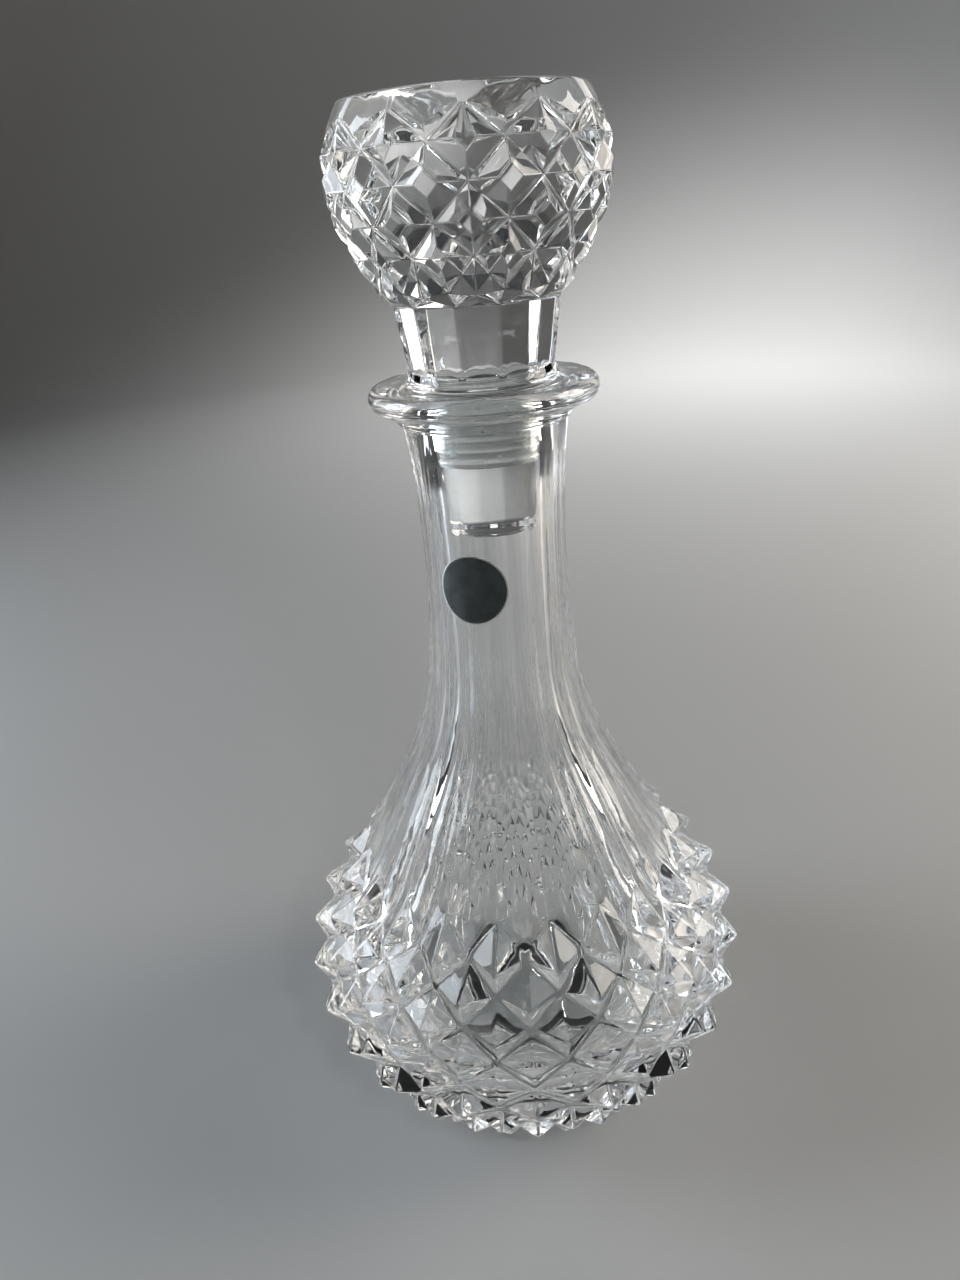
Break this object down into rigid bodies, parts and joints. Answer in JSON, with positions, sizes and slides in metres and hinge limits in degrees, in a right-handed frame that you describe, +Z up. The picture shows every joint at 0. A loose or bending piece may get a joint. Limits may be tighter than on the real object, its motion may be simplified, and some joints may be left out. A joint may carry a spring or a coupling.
{
  "type": "cut crystal decanter",
  "caption": "Cut crystal decanter: fluted neck, round belly of pointed diamond cuts, flat lip, and a heavy faceted stopper with a sealed plug.",
  "frame": {"origin": "centre of the flat foot, on the surface that the decanter stands on", "axes": "+Z up through the neck and stopper; -Y is the front, and the label sits a little to its left"},
  "size_m": [0.1348, 0.1348, 0.279],
  "materials": {
    "bottle_crystal": "cut and polished clear lead crystal",
    "stopper_crystal": "cut and polished clear lead crystal",
    "seal_plastic": "clear flexible plastic",
    "label_foil": "dark metallic foil with a bright border"
  },
  "bodies": {
    "bottle": {"bottle": "bottle_crystal", "label": "label_foil"},
    "seal": {"stopper_seal": "seal_plastic"},
    "stopper": {"stopper": "stopper_crystal"}
  },
  "joints": [
    {"name": "stopper_lift", "type": "slide", "parent": "bottle", "child": "seal", "axis": [0, 0, 1], "range_m": [0, 0.06]},
    {"name": "stopper_turn", "type": "hinge", "parent": "seal", "child": "stopper", "pos_m": [0, 0, 0.205], "axis": [0, 0, 1], "continuous": true}
  ]
}
